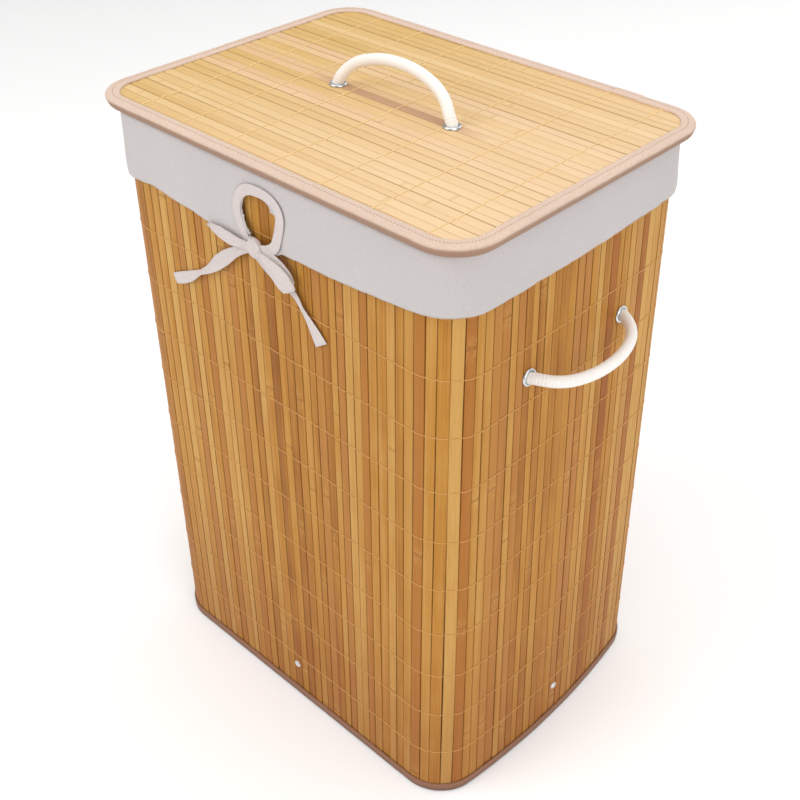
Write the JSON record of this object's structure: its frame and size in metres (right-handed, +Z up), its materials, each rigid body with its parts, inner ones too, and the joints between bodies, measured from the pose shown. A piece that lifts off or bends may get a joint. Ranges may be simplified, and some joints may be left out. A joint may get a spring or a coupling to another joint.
{
  "type": "laundry hamper",
  "caption": "Tall rounded-rectangular laundry hamper of bamboo slats with a tied cloth bag liner, a hinged slatted lid and rope handles.",
  "frame": {"origin": "on the floor, under the middle of the hamper", "axes": "+Z up, +X to the right along the long side, front faces -Y"},
  "size_m": [0.4826, 0.319, 0.644],
  "materials": {
    "bamboo_slats": "varnished bamboo, golden brown, varied slat by slat",
    "lid_slats": "varnished bamboo, pale straw, varied slat by slat",
    "binding_tape": "woven cotton tape, pinkish beige",
    "cotton_cloth": "plain-weave cotton, off-white",
    "tie_tape": "folded cotton tape, off-white",
    "fibreboard": "hardboard, smooth",
    "rope": "braided cotton rope, cream",
    "steel_wire": "drawn",
    "nickel": "nickel-plated brass"
  },
  "bodies": {
    "hamper": {"front_slats": "bamboo_slats", "right_slats": "bamboo_slats", "back_slats": "bamboo_slats", "left_slats": "bamboo_slats", "front_right_corner_slats": "bamboo_slats", "back_right_corner_slats": "bamboo_slats", "back_left_corner_slats": "bamboo_slats", "front_left_corner_slats": "bamboo_slats", "mat_backing": "cotton_cloth", "bottom_binding": "binding_tape", "bottom_wire": "steel_wire", "top_binding": "binding_tape", "top_wire": "steel_wire", "base_board": "fibreboard", "front_base_tab": "binding_tape", "front_rivet": "nickel", "right_base_tab": "binding_tape", "right_rivet": "nickel", "back_base_tab": "binding_tape", "back_rivet": "nickel", "left_base_tab": "binding_tape", "left_rivet": "nickel", "bag": "cotton_cloth", "hole_binding": "tie_tape", "bow_knot": "tie_tape", "bow_left_loop": "tie_tape", "bow_right_loop": "tie_tape", "bow_left_tail": "tie_tape", "bow_right_tail": "tie_tape", "left_handle_first_eyelet": "nickel", "left_handle_first_washer": "nickel", "left_handle_first_knot": "rope", "left_handle_second_eyelet": "nickel", "left_handle_second_washer": "nickel", "left_handle_second_knot": "rope", "right_handle_first_eyelet": "nickel", "right_handle_first_washer": "nickel", "right_handle_first_knot": "rope", "right_handle_second_eyelet": "nickel", "right_handle_second_washer": "nickel", "right_handle_second_knot": "rope", "left_hinge_tab": "cotton_cloth", "right_hinge_tab": "cotton_cloth"},
    "lid": {"lid_slats": "lid_slats", "lid_board": "fibreboard", "lid_lining": "cotton_cloth", "lid_binding": "binding_tape", "lid_wire": "steel_wire", "lid_handle_left_eyelet": "nickel", "lid_handle_left_washer": "nickel", "lid_handle_left_knot": "rope", "lid_handle_right_eyelet": "nickel", "lid_handle_right_washer": "nickel", "lid_handle_right_knot": "rope"},
    "lid_handle": {"lid_handle_rope": "rope"},
    "left_handle": {"left_handle_rope": "rope"},
    "right_handle": {"right_handle_rope": "rope"}
  },
  "joints": [
    {"name": "lid_hinge", "type": "hinge", "parent": "hamper", "child": "lid", "pos_m": [0, 0.1553, 0.599], "axis": [-1, 0, 0], "range_deg": [0, 100]},
    {"name": "lid_handle_swing", "type": "hinge", "parent": "lid", "child": "lid_handle", "pos_m": [0, 0, 0.6148], "axis": [1, 0, 0], "range_deg": [-60, 100], "stiffness_Nm_per_rad": 0.05},
    {"name": "left_handle_swing", "type": "hinge", "parent": "hamper", "child": "left_handle", "pos_m": [-0.21023, 0, 0.46113], "axis": [0, 1, 0], "range_deg": [-70, 100], "stiffness_Nm_per_rad": 0.05},
    {"name": "right_handle_swing", "type": "hinge", "parent": "hamper", "child": "right_handle", "pos_m": [0.21023, 0, 0.46113], "axis": [0, -1, 0], "range_deg": [-70, 100], "stiffness_Nm_per_rad": 0.05}
  ]
}
